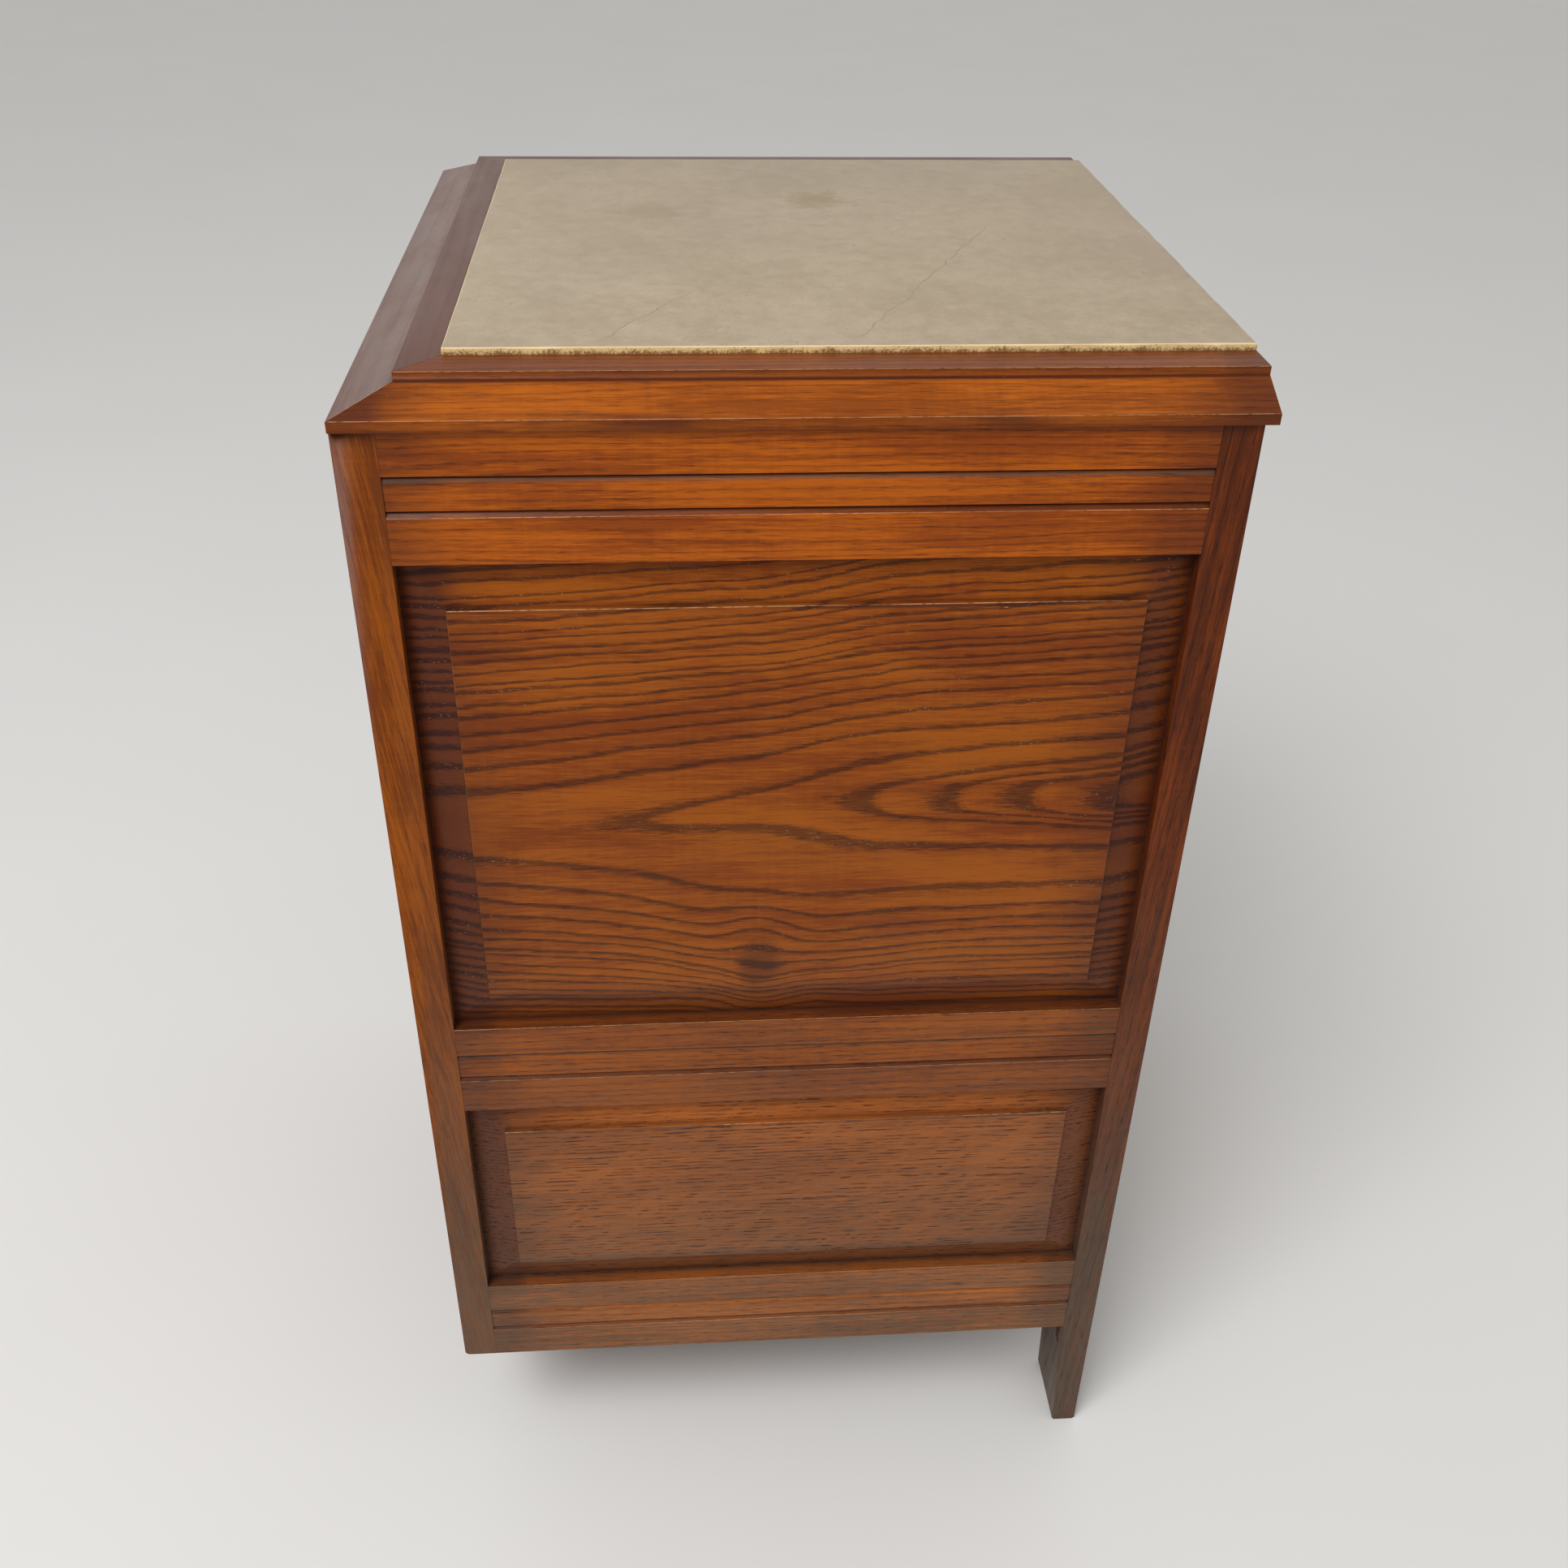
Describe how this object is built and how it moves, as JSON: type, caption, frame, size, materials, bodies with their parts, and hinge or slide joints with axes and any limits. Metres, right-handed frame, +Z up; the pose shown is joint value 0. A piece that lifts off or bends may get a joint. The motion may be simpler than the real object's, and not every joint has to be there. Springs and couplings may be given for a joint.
{
  "type": "nightstand",
  "caption": "Dark-stained oak nightstand with framed and fielded side panels, a moulded top holding a stone slab, a sliding drawer and a hinged door over a shelf.",
  "frame": {"origin": "on the floor, in the middle of the part's box", "axes": "+Z up, the front with the drawer and the door faces -Y, +X is the side seen in the picture"},
  "size_m": [0.43, 0.417, 0.703],
  "materials": {
    "oak_stained": "dark stained, glossy varnish",
    "oak_inside": "bare, planed",
    "stone": "honed, worn",
    "brass": "tarnished",
    "steel": "plain"
  },
  "bodies": {
    "carcass": {"back_bottom_rail": "oak_stained", "back_panel": "oak_inside", "back_stile_left": "oak_stained", "back_stile_right": "oak_stained", "back_top_rail": "oak_stained", "bottom_board": "oak_inside", "bottom_cleats": "oak_inside", "catch_clip": "steel", "catch_clip_screw": "steel", "door_stop": "oak_inside", "drawer_guides": "oak_inside", "drawer_rail": "oak_stained", "drawer_runners": "oak_inside", "drawer_stops": "oak_inside", "front_bottom_rail": "oak_stained", "front_stile_left": "oak_stained", "front_stile_right": "oak_stained", "front_top_rail": "oak_stained", "hinge_frame_leaves": "brass", "hinge_frame_screws": "brass", "hinge_pins": "steel", "plinth_front": "oak_stained", "plinth_sides": "oak_stained", "shelf": "oak_inside", "shelf_cleats": "oak_inside", "side_bottom_rail_left": "oak_stained", "side_bottom_rail_right": "oak_stained", "side_lower_panel_left": "oak_stained", "side_lower_panel_right": "oak_stained", "side_middle_rail_left": "oak_stained", "side_middle_rail_right": "oak_stained", "side_top_rail_left": "oak_stained", "side_top_rail_right": "oak_stained", "side_upper_panel_left": "oak_stained", "side_upper_panel_right": "oak_stained", "stone_top": "stone", "top_board": "oak_inside", "top_frame_front": "oak_stained", "top_frame_left": "oak_stained", "top_frame_right": "oak_stained"},
    "drawer": {"drawer_front": "oak_stained", "drawer_side_left": "oak_inside", "drawer_side_right": "oak_inside", "drawer_back": "oak_inside", "drawer_bottom": "oak_inside", "drawer_knob": "oak_stained", "drawer_knob_screw": "steel"},
    "door": {"door_bottom_rail": "oak_stained", "door_hinge_stile": "oak_stained", "door_knob": "oak_stained", "door_knob_screw": "steel", "door_lock_stile": "oak_stained", "door_lower_panel": "oak_stained", "door_middle_rail": "oak_stained", "door_top_rail": "oak_stained", "door_upper_panel": "oak_stained", "hinge_door_leaves": "brass", "hinge_door_screws": "brass", "catch_stud": "brass"}
  },
  "joints": [
    {"name": "drawer_slide", "type": "slide", "parent": "carcass", "child": "drawer", "axis": [0, -1, 0], "range_m": [0, 0.23]},
    {"name": "door_swing", "type": "hinge", "parent": "carcass", "child": "door", "pos_m": [0.16625, -0.1845, 0.354], "axis": [0, 0, 1], "range_deg": [0, 150]}
  ]
}
